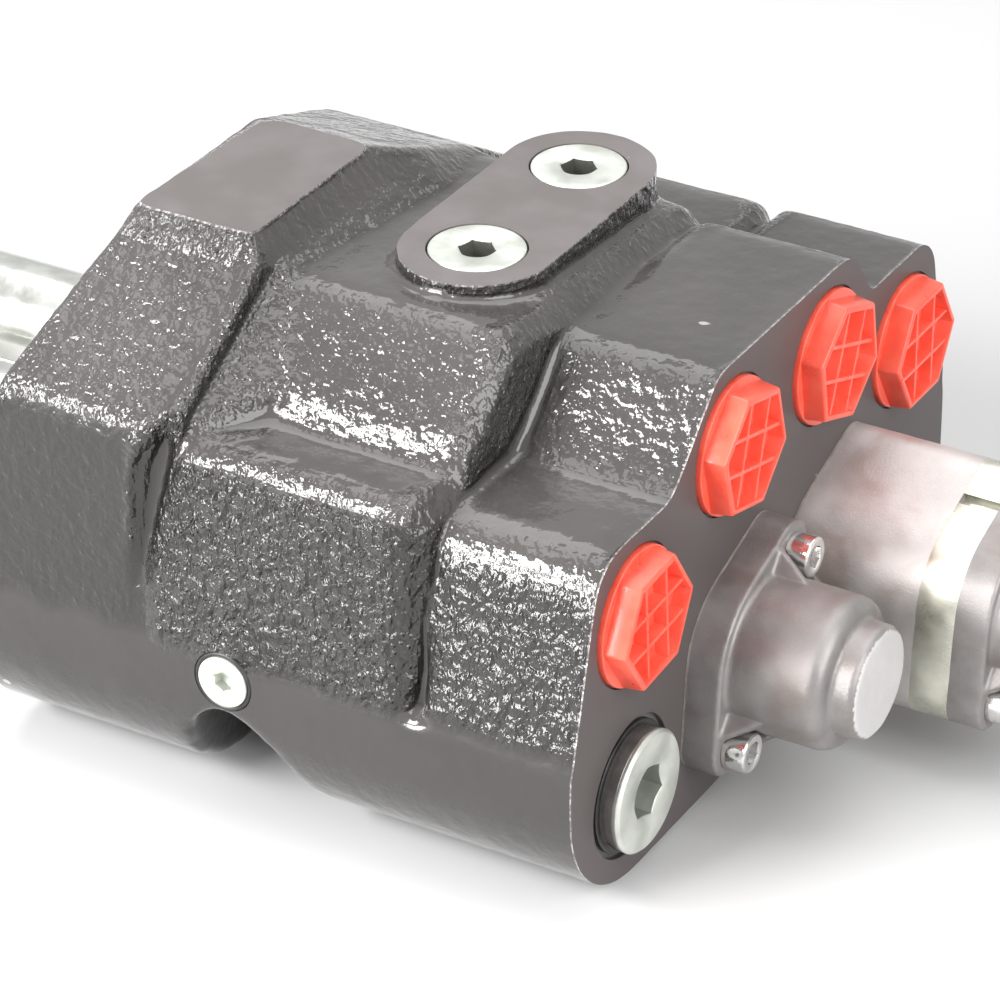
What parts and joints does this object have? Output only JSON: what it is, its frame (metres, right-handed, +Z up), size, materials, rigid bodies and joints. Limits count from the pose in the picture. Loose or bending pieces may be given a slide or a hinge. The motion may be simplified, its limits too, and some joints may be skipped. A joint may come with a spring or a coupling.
{
  "type": "monoblock directional control valve",
  "caption": "Cast monoblock hydraulic directional control valve with spring-centred sliding spools, load checks, relief valve, bolted end caps and capped ports.",
  "frame": {"origin": "centre of the mounting hole pattern, on the foot's face", "axes": "+X along the spools towards the work-port face, +Y towards the second spool and the inlet side, +Z up from the mounting face"},
  "size_m": [0.373, 0.1976, 0.132],
  "materials": {
    "painted_casting": "gloss black-brown paint over a sand-cast skin",
    "cast_aluminium": "fine blasted casting",
    "zinc_plate": "pale zinc plating",
    "zinc_steel": "pale zinc plating, turned",
    "bright_steel": "bright plated",
    "ground_steel": "ground",
    "spring_steel": "drawn wire",
    "bearing_bronze": "turned",
    "seal_rubber": "satin",
    "gasket_fibre": "matt sheet",
    "red_plastic": "moulded, slightly translucent"
  },
  "bodies": {
    "housing": {"valve_body": "painted_casting", "spacer_housing": "cast_aluminium", "stop_plate": "zinc_plate", "feel_spring": "spring_steel", "relief_plug": "zinc_steel", "relief_washer": "seal_rubber", "relief_seat": "ground_steel", "relief_spring": "spring_steel", "gallery_plug": "zinc_steel", "gallery_plug_ring": "seal_rubber", "inlet_cap": "red_plastic", "return_cap": "red_plastic", "spool_seals_1": "seal_rubber", "seal_washer_1": "ground_steel", "cover_flange_1": "cast_aluminium", "cover_screws_1": "bright_steel", "rod_sleeve_1": "zinc_steel", "rod_bush_1": "bearing_bronze", "load_check_plug_1": "zinc_steel", "load_check_spring_1": "spring_steel", "cap_gasket_1": "gasket_fibre", "spring_cap_1": "cast_aluminium", "cap_screws_1": "bright_steel", "centring_spring_inner_1": "spring_steel", "centring_spring_outer_1": "spring_steel", "spool_seals_2": "seal_rubber", "seal_washer_2": "ground_steel", "cover_flange_2": "cast_aluminium", "cover_screws_2": "bright_steel", "rod_sleeve_2": "zinc_steel", "rod_bush_2": "bearing_bronze", "load_check_plug_2": "zinc_steel", "load_check_spring_2": "spring_steel", "cap_gasket_2": "gasket_fibre", "spring_cap_2": "cast_aluminium", "cap_screws_2": "bright_steel", "centring_spring_inner_2": "spring_steel", "centring_spring_outer_2": "spring_steel", "port_cap_a1": "red_plastic", "port_cap_b1": "red_plastic", "port_cap_b2": "red_plastic", "port_cap_a2": "red_plastic"},
    "spool_assembly_1": {"spool_1": "ground_steel", "link_rod_1": "ground_steel", "tail_rod_1": "ground_steel", "centring_collar_1": "ground_steel", "collar_screw_1": "bright_steel"},
    "load_check_1": {"load_check_poppet_1": "ground_steel"},
    "spool_assembly_2": {"spool_2": "ground_steel", "link_rod_2": "ground_steel", "tail_rod_2": "ground_steel", "centring_collar_2": "ground_steel", "collar_screw_2": "bright_steel"},
    "load_check_2": {"load_check_poppet_2": "ground_steel"},
    "relief_valve_poppet": {"relief_poppet": "ground_steel"}
  },
  "joints": [
    {"name": "spool_1_slide", "type": "slide", "parent": "housing", "child": "spool_assembly_1", "axis": [1, 0, 0], "range_m": [-0.007, 0.007], "stiffness_N_per_m": 20000, "deforming": ["centring_spring_inner_1", "centring_spring_outer_1"]},
    {"name": "spool_2_slide", "type": "slide", "parent": "housing", "child": "spool_assembly_2", "axis": [1, 0, 0], "range_m": [-0.007, 0.007], "stiffness_N_per_m": 20000, "deforming": ["centring_spring_inner_2", "centring_spring_outer_2", "feel_spring"]},
    {"name": "load_check_1_lift", "type": "slide", "parent": "housing", "child": "load_check_1", "axis": [0, 0, 1], "range_m": [0, 0.005], "stiffness_N_per_m": 2000, "springref_m": -0.003, "deforming": ["load_check_spring_1"]},
    {"name": "load_check_2_lift", "type": "slide", "parent": "housing", "child": "load_check_2", "axis": [0, 0, 1], "range_m": [0, 0.005], "stiffness_N_per_m": 2000, "springref_m": -0.003, "deforming": ["load_check_spring_2"]},
    {"name": "relief_lift", "type": "slide", "parent": "housing", "child": "relief_valve_poppet", "axis": [1, 0, 0], "range_m": [0, 0.003], "stiffness_N_per_m": 4000, "springref_m": -0.003, "deforming": ["relief_spring"]}
  ]
}
